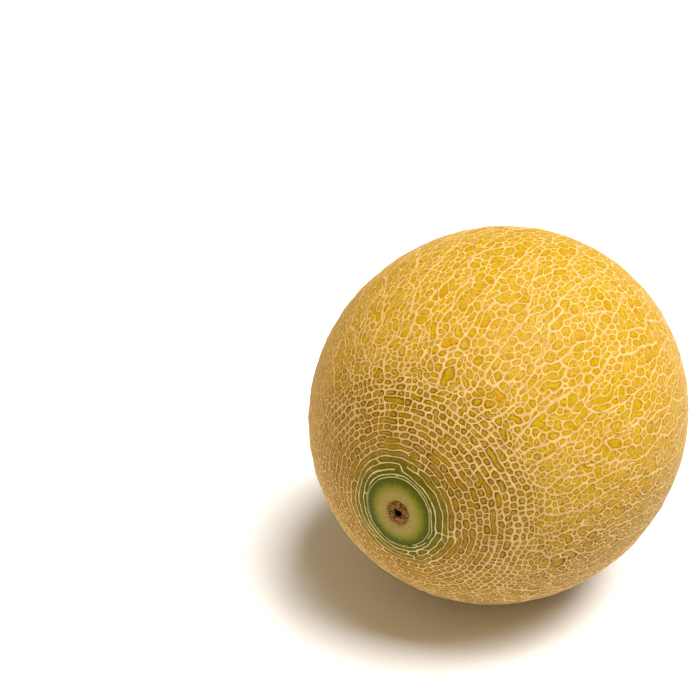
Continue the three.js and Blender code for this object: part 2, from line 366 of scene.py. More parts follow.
class Net:
    """The lines of the net, as points along them with a strength from 0 to 1 and a boldness up
    to 1.1, and the loop of these points round each mesh."""

    def __init__(self, body, rng):
        self.body = body
        chart = Chart(body)
        phi, rise, row = chart.sow(rng)
        theta = chart.theta_at(rise)
        kept = self.not_dropped(theta, phi, row, rng)
        phi, rise, row, theta = phi[kept], rise[kept], row[kept], theta[kept]
        seed, point, points = meshes_round(phi, rise)
        inner = row[seed] >= 0
        seed, point = seed[inner], point[inner]
        place = body.plain(chart.theta_at(points[:, 1]), points[:, 0])
        self.join_corners(seed, point, place)
        self.find_sides(row, theta, phi, rng)
        self.relax()
        self.sample(rng)

    def not_dropped(self, theta, phi, row, rng):
        """Leaves some seeds out away from the ends, so that their neighbours' meshes grow into
        the gap, and more of them where a broad wave makes the net open."""
        place = self.body.plain(theta, phi)
        open_net = waves(rng, place, 70 * MM)
        chance = np.clip(0.12 + 0.14 * open_net, 0.02, 0.5)
        chance *= smoothstep(38, 52, np.degrees(theta)) * (1 - smoothstep(150, 160, np.degrees(theta)))
        return (row < 0) | (rng.uniform(size=len(theta)) > chance)

    def join_corners(self, seed, point, place):
        """Makes one point of the corners of very short sides, at their mean."""
        after = next_round(seed)
        label = joined(place, point, point[after])
        names, number = np.unique(label, return_inverse=True)
        self.place = mean_by(number, place, len(names))
        corner = number[point]
        stays = corner != corner[after]
        self.seed, self.corner = seed[stays], corner[stays]

    def find_sides(self, row, theta, phi, rng):
        """Every side of a mesh once, with how bold and how strong its line is. Bold lines part
        the fields, boldest where they run along the body. Near the stem the rings are strong,
        one in three of them bold along its arcs, and many links between them are missing. Near
        the blossom end most rings are missing and the spokes are left. Elsewhere a few of the
        fine lines are missing."""
        after = next_round(self.seed)
        pairs = np.sort(np.stack([self.corner, self.corner[after]], 1), 1)
        self.sides, first, self.side_of, uses = np.unique(
            pairs, axis=0, return_index=True, return_inverse=True, return_counts=True)
        self.side_of = self.side_of.ravel()
        if uses.max() > 2:
            raise RuntimeError("a side of the net is shared by more than two meshes")
        number_sum = np.bincount(self.side_of, np.arange(len(pairs)), len(self.sides)).astype(int)
        self.edge = uses == 1
        other = np.where(self.edge, first, number_sum - first)
        one, two = self.seed[first], self.seed[other]
        field = fields_of(self.body, theta, phi, rng, 1)
        half_field = fields_of(self.body, theta, phi, rng, MIDDLING_FIELDS)
        rings = (row[one] != row[two]) | self.edge
        degrees = np.degrees(theta[one])
        by_stem = 1 - smoothstep(30, 44, degrees)
        by_blossom = smoothstep(160, 168, degrees)
        chance = rng.uniform(size=(4, len(self.sides)))

        lengthwise = smoothstep(0.15, 0.55, self.along_meridian())
        parts_fields = np.where(field[one] != field[two], 1.0, 0.3 * (half_field[one] != half_field[two]))
        away = smoothstep(24, 40, degrees)
        field_lines = away * parts_fields * (0.2 + 0.8 * lengthwise) * (0.85 + 0.3 * chance[0])
        main_ring = np.where(np.minimum(row[one], row[two]) % MAIN_RING_EVERY == 0, 1.0, 0.45)
        along_ring = 0.85 + 0.6 * waves(rng, self.place[self.sides[:, 0]], 18 * MM)
        ring_lines = main_ring * np.clip(along_ring, 0.1, 1.2) * np.interp(
            degrees, (12, 20, 34), (0.35, 0.65, 0.85))
        links = np.interp(degrees, (20, 36), (0.0, 0.18))
        self.bold = np.minimum(field_lines + by_stem * np.where(rings, ring_lines, links), 1.1)
        self.line = np.where(by_stem > 0.3, rings, self.bold > 0.3)

        lost_links = np.interp(degrees, (14, 18, 22, 34), (0.9, 0.5, 0.15, 0.05))
        missing = (chance[1] < 0.07) & ~self.line
        missing |= (by_stem > 0.5) & (chance[2] < np.where(rings, 0.012, lost_links))
        missing |= (by_blossom > chance[3]) & (chance[2] < np.where(rings, 0.9, 0.35))
        faint = np.where(self.line, 1.0, 0.5 + 0.5 * chance[1])
        self.strength = np.where(missing, 0.0, faint)

    def along_meridian(self):
        """How far each side runs along the body: 1 straight towards the stem, 0 round it."""
        start, end = (self.place[self.sides[:, k]] for k in (0, 1))
        middle = (start + end) / 2
        around = unit(np.cross(middle, (0, 1, 0)))
        course = unit(end - start)
        return np.sqrt(np.maximum(1 - (course * around).sum(1) ** 2, 0))

    def relax(self):
        """Draws the bold lines and rings smooth by moving each point of them half the way to the
        mean of its two neighbours on the line, and evens the rest out a little."""
        on_lines, evened = (self.sides[self.line], 0.5, 2), (self.sides, 0.15, 3)
        for _ in range(12):
            for sides, share, needed in (on_lines, evened):
                a, b = np.concatenate([sides, sides[:, ::-1]]).T
                count = np.bincount(a, minlength=len(self.place))
                moves = count == needed
                mean = mean_by(a, self.place[b], len(self.place))
                self.place[moves] += share * (mean[moves] - self.place[moves])

    def sample(self, rng):
        """Sets points along every side, lets them wander on two smooth fields, and lays the
        points of each mesh in a loop round it."""
        a, b = self.sides.T
        length = np.linalg.norm(self.place[a] - self.place[b], axis=1)
        steps = np.round(length / np.where(self.line, LINE_SPACING, LINK_SPACING))
        steps = np.clip(steps, np.where(self.strength > 0, 1, 3), 4).astype(int)
        extra = steps - 1
        start = len(self.place) + np.concatenate([[0], np.cumsum(extra)[:-1]])
        side = np.repeat(np.arange(len(steps)), extra)
        share = (np.arange(len(side)) - np.repeat(start - len(self.place), extra) + 1) / steps[side]
        between = self.place[a][side] * (1 - share[:, None]) + self.place[b][side] * share[:, None]
        crest = np.concatenate([self.place, between])

        calm = smoothstep(20, 50, np.degrees(self.body.angles(crest)[0]))[:, None]
        slow = np.stack([waves(rng, crest, 15 * MM) for _ in range(3)], 1)
        quick = np.stack([waves(rng, crest, 5.5 * MM) for _ in range(3)], 1)
        crest = crest + (0.4 + 0.6 * calm) * (0.5 * MM * slow + 0.2 * MM * quick)

        self.theta, self.phi = self.body.angles(crest)
        self.crest = self.body.plain(self.theta, self.phi)
        ends = np.concatenate([a, b])
        at_points = np.zeros((2, len(self.place)))
        np.maximum.at(at_points[0], ends, np.tile(self.strength, 2))
        np.maximum.at(at_points[1], ends, np.tile(self.bold, 2))
        self.point_strength = np.concatenate([at_points[0], self.strength[side]])
        self.point_bold = np.concatenate([at_points[1], self.bold[side]])

        rounds = steps[self.side_of]
        number = np.repeat(np.arange(len(self.corner)), rounds)
        step = np.arange(len(number)) - np.repeat(np.cumsum(rounds) - rounds, rounds)
        self.side_ahead = self.side_of[number]
        forward = self.corner[number] == self.sides[self.side_ahead, 0]
        inside = start[self.side_ahead] + np.where(forward, step - 1, steps[self.side_ahead] - 1 - step)
        self.point = np.where(step == 0, self.corner[number], inside)
        names, self.mesh = np.unique(self.seed[number], return_inverse=True)
        self.mesh_count = len(names)
        along_edge = len(self.place) + np.flatnonzero(self.edge[side])
        self.edge_points = np.unique(np.concatenate([self.sides[self.edge].ravel(), along_edge]))


def unit(vectors):
    """The vectors at length 1."""
    return vectors / np.maximum(np.linalg.norm(vectors, axis=-1, keepdims=True), 1e-12)


class Patchwork:
    """Collects points with their attributes, and faces with their material slot."""

    def __init__(self):
        self.columns = [[] for _ in range(6)]
        self.faces, self.slots = [], []
        self.count = 0

    def points(self, theta, phi, height, ridge=0.0, tone=0.0, creased=False):
        """Adds points at a height over the rind and gives their numbers. The ridge is 2 on the
        crest of a line, its strength up to 1 at its feet, and 0 in the middle of a mesh. The
        tone tells how olive and ripe a mesh is. The surface has a crease along edges between
        creased points."""
        added = np.broadcast_arrays(theta, phi, height, ridge, tone, creased)
        numbers = self.count + np.arange(added[0].size).reshape(added[0].shape)
        for column, values in zip(self.columns, added):
            column.append(values.ravel())
        self.count += added[0].size
        return numbers

    def add(self, faces, slot):
        """Adds faces of three or four points, listed anticlockwise from outside."""
        self.faces.append(faces)
        self.slots.append(np.broadcast_to(slot, len(faces)))

    def arrays(self):
        """theta, phi, height, ridge, tone and crease of all points."""
        return [np.concatenate(column) for column in self.columns]


def feet_beside(here, outward, course, inwards, half_width, after, before):
    """The foot beside each point of the loops. The first guess is the corner where the two lines
    that meet at the point, each moved aside by its half width, cross. It is then pushed out until
    it keeps 0.7 of both half widths, but no deeper than 0.6 of the way to the middle of the mesh,
    and smoothed along the loop. Feet that come in the wrong order or cross a line are drawn back
    to it."""
    left = unit(np.cross(outward, course))
    left_before = left[before]
    corner = 1 + np.maximum((left * left_before).sum(1), -0.3)
    step = (left * half_width[:, None] + left_before * half_width[before][:, None]) / corner[:, None]
    for _ in range(3):
        for side, wanted in ((left, half_width), (left_before, half_width[before])):
            short = np.maximum(0.7 * wanted - (step * side).sum(1), 0)
            step += short[:, None] * side
    deep = (step * unit(inwards)).sum(1) / np.maximum(0.6 * np.linalg.norm(inwards, axis=1), 1e-6)
    foot = here + step / np.maximum(deep, 1)[:, None]
    foot = (foot[before] + 4 * foot + foot[after]) / 6

    def clockwise(a, b, c):
        return (np.cross(b - a, c - a) * outward).sum(1) <= 0

    middle = here + inwards
    close = here + LEAST_HALF_WIDTH * unit(left + left_before)
    for _ in range(3):
        wrong = clockwise(here, here[after], foot[after]) | clockwise(here, foot[after], foot)
        wrong |= clockwise(here, here[after], foot) | clockwise(foot, foot[after], middle)
        wrong |= wrong[before]
        foot[wrong] = 0.5 * foot[wrong] + 0.5 * close[wrong]
    foot[wrong] = close[wrong]
    return foot


def netted_patchwork(body, net, sizes, rng):
    """The rind with its net. Across a line the surface falls from the crest to a creased foot,
    which lies the line's half width to the side. A fan fills the mesh and swells a little. A
    fine line stands 0.4 as high as a bold one, and heights and widths waver along it."""
    crest, point, mesh, ahead = net.crest, net.point, net.mesh, net.side_ahead
    grain = 1 + 0.22 * waves(rng, crest, 9 * MM)
    tall = (0.4 + 0.6 * net.point_bold) * net.point_strength * body.relief(crest) * grain
    patch = Patchwork()
    on_crest = np.where(net.point_strength > 0, 2.0, 0.0)
    crest_numbers = patch.points(net.theta, net.phi, tall * sizes.net_height, on_crest)

    after = next_round(mesh)
    before = inverse(after)
    here = crest[point]
    middle = mean_by(mesh, here, net.mesh_count)
    inwards = middle[mesh] - here
    course = unit(here[after] - here)
    outward = unit(here / (body.equator, body.pole, body.equator))
    rough = 1 + 0.2 * waves(rng, here, 6 * MM) + 0.2 * waves(rng, here, 2.4 * MM)
    half_width = (sizes.fine_width + (sizes.bold_width - sizes.fine_width) * net.bold) * net.strength
    half_width = np.maximum(half_width, LEAST_HALF_WIDTH)[ahead] * np.clip(rough, 0.5, 1.6)
    foot = feet_beside(here, outward, course, inwards, half_width, after, before)

    away = np.linalg.norm(inwards, axis=1)
    size = np.sqrt(np.bincount(mesh, away ** 2) / np.bincount(mesh))
    tone = np.clip(rng.uniform(-0.3, 0.5, net.mesh_count) + smoothstep(1.4 * MM, 3.2 * MM, size), 0, 1)
    strength = net.point_strength[point]
    foot_numbers = patch.points(*body.angles(foot), 0.0, strength, tone[mesh], True)
    middle_numbers = patch.points(*body.angles(middle), 0.04 * size, 0.0, tone)
    corky = np.where(net.strength[ahead] > 0, 1, 0)
    crest_loop = crest_numbers[point]
    patch.add(np.stack([crest_loop, crest_loop[after], foot_numbers[after], foot_numbers], 1), corky)
    patch.add(np.stack([foot_numbers, foot_numbers[after], middle_numbers[mesh]], 1), 0)
    return patch, crest_numbers


# Radius from the axis and height over the rind, in millimetres, from the net inwards
STEM_END = (
    (14.3, 0), (13.6, -0.02), (12.8, 0), (12.0, 0.02), (11.2, 0.1), (10.4, 0.16), (9.6, 0.16), (8.8, 0.14),
    (8.0, 0.1), (7.2, 0.04), (6.4, -0.06), (5.6, -0.2), (5.0, -0.4), (4.4, -0.9), (3.6, -2.4), (2.4, -3.2),
    (1.2, -3.4))
BLOSSOM_END = (
    (7.8, 0), (7.2, 0), (6.6, -0.05), (5.8, -0.15), (5.0, -0.28), (4.2, -0.42), (3.4, -0.6), (2.6, -0.9),
    (1.6, -1.3), (0.8, -1.5))

# The same from the middle of the scar or button over its rim, and back to the axis underneath
SCAR = (
    (0.5, -2.9), (1.0, -2.8), (1.4, -2.4), (1.6, -1.8), (1.75, -1.1), (1.9, -0.5), (2.1, -0.1), (2.4, 0.15),
    (2.7, 0.25), (3.0, 0.3), (3.3, 0.25), (3.6, 0.15), (3.9, 0.0), (4.2, -0.15), (4.45, -0.35),
    (4.65, -0.6), (4.75, -0.9), (4.6, -1.4), (4.0, -2.2), (3.0, -3.2), (1.5, -3.6))
BUTTON = (
    (0.3, -0.55), (0.7, -0.45), (1.1, -0.3), (1.5, -0.22), (1.9, -0.2), (2.3, -0.25), (2.6, -0.35),
    (2.9, -0.55), (3.1, -0.8), (2.9, -1.2), (2.2, -1.7), (1.1, -1.9))


def close_end(patch, body, net, crest_numbers, profile, at_stem):
    """Fills one end with rings that keep the angles of the net's last line and even them out
    towards the axis. The first is the foot of that line."""
    ours = net.edge_points[(net.theta[net.edge_points] < math.pi / 2) == at_stem]
    ours = ours[np.argsort(net.phi[ours])]
    phi, outline = net.phi[ours], body.equator * np.sin(net.theta[ours])
    even = TURN * (np.arange(len(ours)) + 0.5) / len(ours) - math.pi
    even += np.mean(phi - even)
    radius, height = np.array(profile).T * MM
    share = np.linspace(0, 1, len(radius))[:, None] ** 0.7
    ring_radius = radius[:, None] + (1 - share) ** 3 * (outline - outline.mean())
    rows_phi = phi + (even - phi) * share
    rows_height = np.broadcast_to(height[:, None], ring_radius.shape)
    rows_ridge = np.zeros_like(ring_radius)
    rows_ridge[0] = net.point_strength[ours]
    theta = np.arcsin(ring_radius / body.equator)
    if not at_stem:
        theta = math.pi - theta
    numbers = patch.points(theta, rows_phi, rows_height, rows_ridge)
    numbers = np.concatenate([crest_numbers[ours][None], numbers])
    pole = patch.points(np.array([0.0 if at_stem else math.pi]), 0.0, height[-1])[0]
    turned = np.roll(numbers, -1, 1)
    outer, outer_next, inner, inner_next = numbers[:-1], turned[:-1], numbers[1:], turned[1:]
    quads = np.stack([inner, inner_next, outer_next, outer], -1)
    fan = np.stack([numbers[-1], np.full(len(ours), pole), turned[-1]], -1)
    if not at_stem:
        quads, fan = quads[..., ::-1], fan[:, ::-1]
    strong = net.point_strength[ours]
    corky = np.where((strong + np.roll(strong, -1)) / 2 > 0.3, 1, 0)
    slots = np.zeros(quads.shape[:2], int)
    slots[0] = corky
    patch.add(quads.reshape(-1, 4), slots.ravel())
    patch.add(fan, 0)


def crusted_patchwork(body, profile, at_stem, rng, steps_round=150, steps_between=3):
    """A crumbled corky cap on one end: the profile turned about the axis, its middle and its
    underside closed by fans, with coarse and fine lumps and a ragged rim, which fade out towards
    the middle and on the underside."""
    radius, height = np.array(profile).T * MM
    fine = np.linspace(0, len(profile) - 1, (len(profile) - 1) * steps_between + 1)
    radius, height = (
        np.interp(fine, np.arange(len(profile)), values)[:, None] for values in (radius, height))
    phi = np.linspace(-math.pi, math.pi, steps_round, endpoint=False)
    place = np.stack([radius * np.sin(phi), height + 0 * phi, radius * np.cos(phi)], -1)
    shown = smoothstep(3, 7, fine)[:, None] * smoothstep(0, 3, (len(profile) - 5) - fine)[:, None]
    lumps = 0.16 * waves(rng, place, 1.9 * MM) + 0.12 * waves(rng, place, 0.9 * MM)
    ragged = 0.3 * waves(rng, place * (1, 0.2, 1), 2.6 * MM)
    height = height + lumps * shown * MM
    radius = radius + (0.5 * lumps + ragged) * shown * MM
    theta = np.arcsin(radius / body.equator)
    if not at_stem:
        theta = math.pi - theta
    patch = Patchwork()
    crust = smoothstep(-2.4 * MM, 0.5 * MM, height)
    numbers = patch.points(theta, phi, height, crust)
    poles = patch.points(
        np.full(2, 0.0 if at_stem else math.pi), 0.0, height[[0, -1], 0], crust[[0, -1], 0])
    turned = np.roll(numbers, -1, 1)
    quads = np.stack([numbers[:-1], turned[:-1], turned[1:], numbers[1:]], -1).reshape(-1, 4)
    top = np.stack([np.full(steps_round, poles[0]), turned[0], numbers[0]], -1)
    base = np.stack([np.full(steps_round, poles[1]), numbers[-1], turned[-1]], -1)
    for faces in (quads, top, base):
        patch.add(faces if at_stem else faces[:, ::-1], 0)
    return patch


def make_piece(name, places, faces, slots, attributes, angles, creased, materials):
    """A mesh object at the origin, smooth but for the edges between creased points, with its
    attributes and a UV map that is the chart of the angles, phi across and theta up. Faces that
    cross the seam of phi run past its far side, for which the map leaves a margin."""
    sizes = np.array([faces_here.shape[1] for faces_here in faces])
    counts = np.array([len(faces_here) for faces_here in faces])
    total = np.repeat(sizes, counts)
    start = np.cumsum(total) - total
    corners = np.concatenate([faces_here.ravel() for faces_here in faces])
    mesh = bpy.data.meshes.new(name)
    mesh.vertices.add(len(places))
    mesh.loops.add(len(corners))
    mesh.polygons.add(len(total))
    mesh.vertices.foreach_set("co", places.astype(np.float32).ravel())
    mesh.loops.foreach_set("vertex_index", corners.astype(np.int32))
    mesh.polygons.foreach_set("loop_start", start.astype(np.int32))
    mesh.polygons.foreach_set("material_index", np.concatenate(slots).astype(np.int32))
    mesh.polygons.foreach_set("use_smooth", np.ones(len(total), bool))
    for label, values in attributes.items():
        layer = mesh.attributes.new(label, "FLOAT", "POINT")
        layer.data.foreach_set("value", values.astype(np.float32))

    theta, phi = (values[corners] for values in angles)
    on_axis = (theta < 1e-6) | (theta > math.pi - 1e-6)
    highest = np.maximum.reduceat(np.where(on_axis, -9, phi), start)
    lowest = np.minimum.reduceat(np.where(on_axis, 9, phi), start)
    crosses = np.repeat(highest - lowest > math.pi, total)
    phi = np.where(crosses & (phi < 0), phi + TURN, phi)
    sums = np.add.reduceat(np.where(on_axis, 0, phi), start)
    used = np.add.reduceat(np.where(on_axis, 0, 1), start)
    phi = np.where(on_axis, np.repeat(sums / used, total), phi)
    layer = mesh.uv_layers.new(name="OFBake")
    uv = np.stack([(phi + math.pi) / (TURN + SEAM_MARGIN), theta / math.pi], 1)
    layer.data.foreach_set("uv", uv.astype(np.float32).ravel())

    for material in materials:
        mesh.materials.append(material)
    mesh.update(calc_edges=True)
    ends = np.empty(2 * len(mesh.edges), np.int32)
    mesh.edges.foreach_get("vertices", ends)
    sharp = creased[ends.reshape(-1, 2)].all(1)
    mesh.attributes.new("sharp_edge", "BOOLEAN", "EDGE").data.foreach_set("value", sharp)
    piece = bpy.data.objects.new(name, mesh)
    bpy.context.scene.collection.objects.link(piece)
    return piece


def add_node(tree, kind, sockets=None, out=0, **settings):
    """Adds a node with its settings and gives one of its outputs. Its sockets are filled by name
    or number: the output of another node is linked, and anything else is set."""
    made = tree.nodes.new("ShaderNode" + kind)
    for name, value in settings.items():
        setattr(made, name, value)
    for key, value in (sockets or {}).items():
        if isinstance(value, bpy.types.NodeSocket):
            tree.links.new(value, made.inputs[key])
        else:
            made.inputs[key].default_value = value
    return made.outputs[out] if made.outputs else None


def new_material(name):
    """A material without nodes, and the function that adds a node to it."""
    material = bpy.data.materials.new(name)
    material.use_nodes = True
    material.node_tree.nodes.clear()
    return material, functools.partial(add_node, material.node_tree)


def finish_material(add, colour, roughness, specular, bump_height, bump_depth):
    """Ends a material in a Principled surface with a bump of the given depth."""
    bump = add("Bump", {"Strength": 1.0, "Distance": bump_depth, "Height": bump_height})
    surface = add("BsdfPrincipled", {
        "Base Color": colour, "Roughness": roughness, "Specular IOR Level": specular, "Normal": bump})
    add("OutputMaterial", {"Surface": surface})


def rgba(colour):
    """A colour of the panel with full alpha."""
    return (*colour[:], 1.0)


# A range node fades softly. Its sockets: 0 the value, 1 and 2 the range that it comes from, 3 and
# 4 the range that it goes to, which is 0 to 1 where they are left out
FADE = {"interpolation_type": "SMOOTHSTEP"}
# A mix of colours. Its sockets: 0 the share of the second colour, 6 and 7 the two colours
MIX = {"data_type": "RGBA", "out": 2}


def painted_shade_part(add, place):
    """1 round the stem and low on the body and 0 on top: how strong the painted shade on the rind and net
    is there. Low on the body it is all painted shade; round the stem it is partly the rind's own deeper
    olive too.
    """
    stem_angle = add("Attribute", out="Fac", attribute_name="from_stem")
    by_stem = add("MapRange", {0: stem_angle, 1: 18.0, 2: 60.0, 3: 1.0, 4: 0.0}, **FADE)
    height = add("SeparateXYZ", {0: place}, out="Z")
    lowest, highest = LOW[2] + 10 * MM, LOW[2] + 120 * MM
    lower = add("MapRange", {0: height, 1: lowest, 2: highest, 3: 1.0, 4: 0.0}, **FADE)
    return add("Math", {0: by_stem, 1: lower}, operation="MAXIMUM")


def waxy_rind(colours):
    """Ripe melon rind, a thin waxed skin. Golden, deeper in small patches, with olive pores. Each
    mesh has a rim of painted shade in olive beside the net, faint on top and dark low on the body
    and round the stem, and there the whole rind is painted deeper and a little more orange too.
    Both ends are dark green, with a pale streaked disc round the scar. Hair cracks of cork
    cross it here and there. The wax gives a soft sheen."""
    material, add = new_material("waxy_melon_rind")
    place = add("TexCoord", out="Object")
    stem_angle, ridge, tone = (
        add("Attribute", out="Fac", attribute_name=name) for name in ("from_stem", "ridge", "tone"))
    lumps = (3.5 * MM, 3.0), (4 * MM, 3.0), (0.9 * MM, 2.0), (9 * MM, 2.0)  # size and detail of each
    patches, mottle, pores, places = (
        add("TexNoise", {"Vector": place, "Scale": 1 / size, "Detail": detail}) for size, detail in lumps)

    shade = painted_shade_part(add, place)
    tint = add("Math", {0: tone, 1: 0.12}, operation="MULTIPLY")
    ripeness_and_shade = add("Math", {0: patches, 1: tint}, operation="ADD")
    # Painted shade also turns the rind a little more orange low on the body and round the stem
    ripeness_and_shade = add("Math", {0: shade, 1: 0.1, 2: ripeness_and_shade}, operation="MULTIPLY_ADD")
    ripeness_and_shade = add("MapRange", {0: ripeness_and_shade, 1: 0.5, 2: 0.82}, **FADE)
    gold = add("Mix", {0: ripeness_and_shade, 6: rgba(colours.rind), 7: rgba(colours.ripe)}, **MIX)

    # Each mesh gets a rim of painted shade in olive beside the net, faint on top and dark low on the body
    # and round the stem, where painted shade also darkens the whole mesh along with its own olive tone
    uneven = add("MapRange", {0: mottle, 1: 0.3, 2: 0.7, 3: 0.75, 4: 1.2}, **FADE)
    rim = add("Math", {0: ridge, 1: uneven}, operation="MULTIPLY")
    rim = add("MapRange", {0: rim, 1: 0.05, 2: 1.05}, **FADE)
    depth = add("MapRange", {0: shade, 1: 0.0, 2: 0.7, 3: 0.35, 4: 1.0}, **FADE)
    rim = add("Math", {0: rim, 1: depth}, operation="MULTIPLY")
    tone_and_shade = add("Math", {0: shade, 1: 0.45}, operation="MULTIPLY")
    tone_and_shade = add("Math", {0: tone_and_shade, 1: tint}, operation="MAXIMUM")
    olive_and_shade = add("Math", {0: rim, 1: tone_and_shade}, operation="MAXIMUM")
    rind = add("Mix", {0: olive_and_shade, 6: gold, 7: rgba(colours.olive)}, **MIX)
    dots = add("MapRange", {0: pores, 1: 0.46, 2: 0.68, 3: 0.0, 4: 0.36}, **FADE)
    rind = add("Mix", {0: dots, 6: rind, 7: rgba(colours.olive)}, **MIX)

    cracks = add("TexVoronoi", {"Vector": place, "Scale": 1 / (2.1 * MM)}, feature="DISTANCE_TO_EDGE")
    cracks = add("MapRange", {0: cracks, 1: 0.02, 2: 0.1, 3: 1.0, 4: 0.0}, **FADE)
    shown = add("MapRange", {0: places, 1: 0.4, 2: 0.6, 3: 0.05, 4: 0.3}, **FADE)
    cracks = add("Math", {0: cracks, 1: shown}, operation="MULTIPLY")
    rind = add("Mix", {0: cracks, 6: rind, 7: rgba(colours.net)}, **MIX)

    wander = add("MapRange", {0: mottle, 1: 0.2, 2: 0.8, 3: -2.5, 4: 2.5}, **FADE)
    wander = add("Math", {0: stem_angle, 1: wander}, operation="ADD")
    by_stem = add("MapRange", {0: wander, 1: 11.0, 2: 19.5, 3: 1.0, 4: 0.0}, **FADE)
    by_blossom = add("MapRange", {0: wander, 1: 167.0, 2: 173.0}, **FADE)
    greenness = add("Math", {0: by_stem, 1: by_blossom}, operation="MAXIMUM")
    rind = add("Mix", {0: greenness, 6: rind, 7: rgba(colours.green)}, **MIX)

    # The noise of the streaks is read by the direction of the spoke, which gives about 50 of them
    # round the axis, and changes slowly along each
    axis = (LOW + HIGH) / 2
    flat = add("VectorMath", {0: place, 1: (1.0, 0.0, 1.0)}, operation="MULTIPLY")
    from_axis = add("VectorMath", {0: flat, 1: (axis[0], 0.0, axis[2])}, operation="SUBTRACT")
    spoke = add("VectorMath", {0: from_axis}, operation="NORMALIZE")
    spoke = add("VectorMath", {0: from_axis, 1: (20.0, 20.0, 20.0), 2: spoke}, operation="MULTIPLY_ADD")
    streaks = add("TexNoise", {"Vector": spoke, "Scale": 1 / 0.12, "Detail": 3.0})
    ragged = add("MapRange", {0: streaks, 1: 0.25, 2: 0.75, 3: -0.8, 4: 0.8}, **FADE)
    ragged = add("Math", {0: stem_angle, 1: ragged}, operation="ADD")
    disc_edge = add("MapRange", {0: ragged, 1: 7.8, 2: 9.9, 3: 0.9, 4: 0.0}, **FADE)
    rind = add("Mix", {0: disc_edge, 6: rind, 7: rgba(colours.lime)}, **MIX)
    disc = add("MapRange", {0: ragged, 1: 5.8, 2: 8.6, 3: 1.0, 4: 0.0}, **FADE)
    rind = add("Mix", {0: disc, 6: rind, 7: rgba(colours.disc)}, **MIX)
    light_and_dark = add("MapRange", {0: streaks, 1: 0.3, 2: 0.7, 3: 0.8, 4: 1.1}, **FADE)
    streaked = add("Mix", {0: 1.0, 6: rind, 7: light_and_dark}, blend_type="MULTIPLY", **MIX)
    by_disc = add("MapRange", {0: stem_angle, 1: 9.0, 2: 13.0, 3: 1.0, 4: 0.0}, **FADE)
    rind = add("Mix", {0: by_disc, 6: rind, 7: streaked}, **MIX)

    relief = add("Math", {0: pores, 1: cracks}, operation="ADD")
    finish_material(add, rind, 0.5, 0.07, relief, 0.06 * MM)
    return material


def corky_net(colours):
    """Dried cork that heals the cracks of the rind. Cream, paler and greener by the stem, dull,
    with a fine crumbled grain of its own. Its feet carry painted shade, golden on top and olive
    low on the body and round the stem, and faint lines let the rind show through."""
    material, add = new_material("corky_melon_net")
    place = add("TexCoord", out="Object")
    stem_angle, ridge, lift = (
        add("Attribute", out="Fac", attribute_name=name) for name in ("from_stem", "ridge", "lift"))
    lumps = (0.55 * MM, 3.0), (3 * MM, 4.0)  # size and detail of each
    grain, clouds = (
        add("TexNoise", {"Vector": place, "Scale": 1 / size, "Detail": detail}) for size, detail in lumps)

    by_stem = add("MapRange", {0: stem_angle, 1: 12.0, 2: 22.0, 3: 1.0, 4: 0.0}, **FADE)
    cork = add("Mix", {0: by_stem, 6: rgba(colours.net), 7: rgba(colours.young_net)}, **MIX)
    clouds = add("MapRange", {0: clouds, 1: 0.3, 2: 0.7, 3: 0.8, 4: 1.08}, **FADE)
    cork = add("Mix", {0: 1.0, 6: cork, 7: clouds}, blend_type="MULTIPLY", **MIX)
    # Painted shade at the feet of each line, in the colour of the rind beside it: golden on top, olive low
    # on the body and round the stem
    foot = add("MapRange", {0: ridge, 1: 1.0, 2: 1.65, 3: 0.85, 4: 0.0}, **FADE)
    beside = add("Mix", {
        0: painted_shade_part(add, place), 6: rgba(colours.ripe), 7: rgba(colours.olive)}, **MIX)
    cork = add("Mix", {0: foot, 6: cork, 7: beside}, **MIX)
    faint = add("MapRange", {0: lift, 1: 0.2, 2: 0.7, 3: 0.15, 4: 0.0}, **FADE)
    away = add("MapRange", {0: by_stem, 1: 0.0, 2: 0.4, 3: 1.0, 4: 0.0}, **FADE)
    faint = add("Math", {0: faint, 1: away}, operation="MULTIPLY")
    cork = add("Mix", {0: faint, 6: cork, 7: rgba(colours.rind)}, **MIX)
    finish_material(add, cork, 0.75, 0.15, grain, 0.1 * MM)
    return material


def dry_scar_cork(colours):
    """Torn and dried stem tissue, brown cork. Orange tan on the crumbs of the rim, and darker the
    deeper it lies: dark in the cracks and nearly black in the hollow, partly the dark torn tissue
    and partly painted shade."""
    material, add = new_material("dry_scar_cork")
    place = add("TexCoord", out="Object")
    crust = add("Attribute", out="Fac", attribute_name="ridge")
    crumbs = add("TexNoise", {"Vector": place, "Scale": 1 / (0.7 * MM), "Detail": 3.0})
    tan = add("MapRange", {0: crumbs, 1: 0.42, 2: 0.62}, **FADE)
    cork = add("Mix", {0: tan, 6: rgba(colours.cork), 7: rgba(colours.crumb)}, **MIX)
    # Darker the deeper: partly the scar's own dark tissue, partly painted shade in the hollow
    raised = add("Math", {0: crust, 1: crumbs}, operation="ADD")
    raised = add("MapRange", {0: raised, 1: 0.75, 2: 1.35}, **FADE)
    cork = add("Mix", {0: raised, 6: rgba(colours.hollow), 7: cork}, **MIX)
    finish_material(add, cork, 0.85, 0.2, crumbs, 0.25 * MM)
    return material


def place_piece(context, name, patch, body, materials):
    """Makes a piece of a patchwork and ties it to the melon."""
    theta, phi, height, ridge, tone, creased = patch.arrays()
    lift = height / context.scene.melon_body.net_height
    attributes = {"ridge": ridge, "tone": tone, "lift": lift, "from_stem": np.degrees(theta)}
    piece = make_piece(name, body.surface(theta, phi, height), patch.faces, patch.slots, attributes,
                       (theta, phi), creased, materials)
    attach(piece, "root")
    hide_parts("melon")


